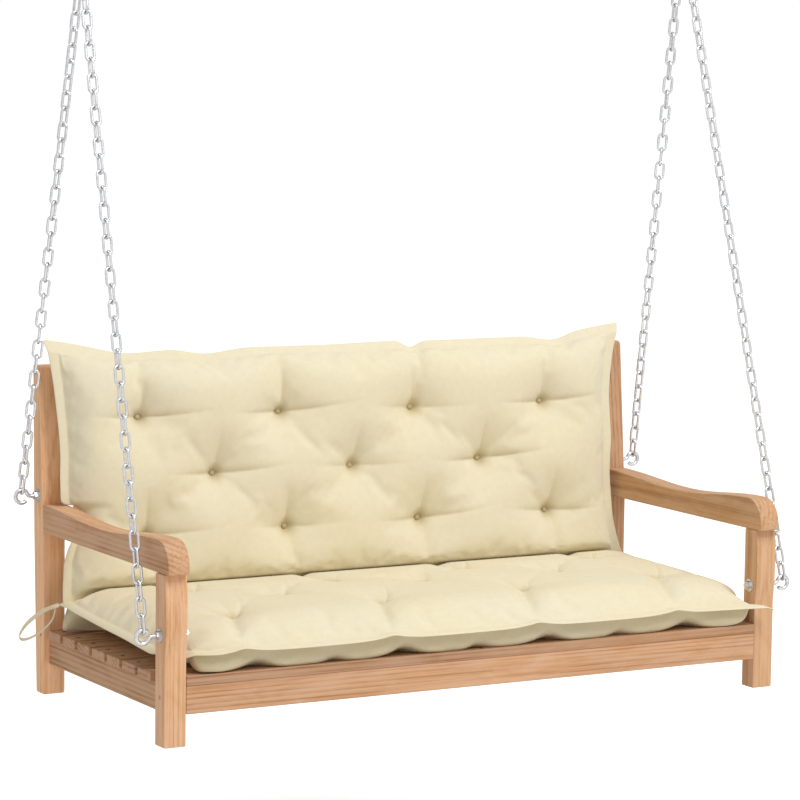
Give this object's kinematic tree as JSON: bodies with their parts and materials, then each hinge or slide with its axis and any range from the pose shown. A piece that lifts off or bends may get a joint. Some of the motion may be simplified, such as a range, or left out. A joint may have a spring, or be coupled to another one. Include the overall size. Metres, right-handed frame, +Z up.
{
  "type": "porch swing seat",
  "caption": "Slatted hardwood bench with arms and tufted cushions, hung by chains from two ceiling hangers so that it swings to and fro.",
  "frame": {"origin": "on the ceiling plane, the top faces of the two hanger plates, midway between them", "axes": "+X along the bench to the sitter's left, which is the viewer's right; +Y to the back of the bench; +Z up"},
  "size_m": [1.3077, 0.5548, 1.4414],
  "materials": {
    "timber": "oiled hardwood",
    "plug_timber": "end grain",
    "zinc": "bright zinc plating",
    "chain_steel": "bright zinc plating",
    "hanger_steel": "satin zinc plating",
    "screw_steel": "plain",
    "cushion_cloth": "woven cotton canvas",
    "tie_tape": "woven cotton tape"
  },
  "bodies": {
    "ceiling": {"hanger_plate_left": "hanger_steel", "hanger_plate_right": "hanger_steel", "pivot_bolts": "zinc", "pivot_nuts": "zinc"},
    "link_left": {"strap_left": "hanger_steel"},
    "link_right": {"strap_right": "hanger_steel"},
    "chains_left": {"ring_left": "chain_steel", "chain_front_left": "chain_steel", "chain_rear_left": "chain_steel"},
    "chains_right": {"ring_right": "chain_steel", "chain_front_right": "chain_steel", "chain_rear_right": "chain_steel"},
    "seat": {"front_post_left": "timber", "front_post_right": "timber", "rear_post_left": "timber", "rear_post_right": "timber", "armrest_left": "timber", "armrest_right": "timber", "side_rail_left": "timber", "side_rail_right": "timber", "front_rail": "timber", "rear_rail": "timber", "seat_bearer": "timber", "seat_slat_1": "timber", "seat_slat_2": "timber", "seat_slat_3": "timber", "seat_slat_4": "timber", "seat_slat_5": "timber", "seat_slat_6": "timber", "seat_slat_7": "timber", "seat_slat_8": "timber", "back_top_rail": "timber", "back_bottom_rail": "timber", "back_slat_1": "timber", "back_slat_2": "timber", "back_slat_3": "timber", "back_slat_4": "timber", "back_slat_5": "timber", "back_slat_6": "timber", "back_slat_7": "timber", "back_slat_8": "timber", "back_slat_9": "timber", "back_slat_10": "timber", "back_slat_11": "timber", "joint_plugs": "plug_timber", "slat_screws": "screw_steel", "hook_bolt_front_left": "zinc", "hook_bolt_front_right": "zinc", "hook_bolt_rear_left": "zinc", "hook_bolt_rear_right": "zinc", "hook_nuts": "zinc", "hook_washers": "zinc", "seat_cushion": "cushion_cloth", "back_cushion": "cushion_cloth", "cushion_tie": "tie_tape"}
  },
  "joints": [
    {"name": "swing", "type": "hinge", "parent": "ceiling", "child": "link_left", "pos_m": [-0.6, 0, -0.034], "axis": [1, 0, 0], "range_deg": [-30, 30]},
    {"name": "swing_right", "type": "hinge", "parent": "ceiling", "child": "link_right", "pos_m": [0.6, 0, -0.034], "axis": [1, 0, 0], "range_deg": [-31, 31]},
    {"name": "sway", "type": "hinge", "parent": "link_left", "child": "chains_left", "pos_m": [-0.6, 0, -0.0894], "axis": [0, 0.9498, 0.3129], "range_deg": [-4, 4]},
    {"name": "sway_right", "type": "hinge", "parent": "link_right", "child": "chains_right", "pos_m": [0.6, 0, -0.0894], "axis": [0, 0.9498, 0.3129], "range_deg": [-4.2, 4.2]},
    {"name": "seat_level", "type": "hinge", "parent": "chains_left", "child": "seat", "pos_m": [-0.631, -0.31627, -1.24613], "axis": [0, 0.9498, 0.3129], "range_deg": [-4.2, 4.2]}
  ],
  "couplings": [
    {"joint": "swing_right", "follows": "swing", "ratio": 1},
    {"joint": "sway_right", "follows": "sway", "ratio": 1},
    {"joint": "seat_level", "follows": "sway", "ratio": -0.95087}
  ]
}
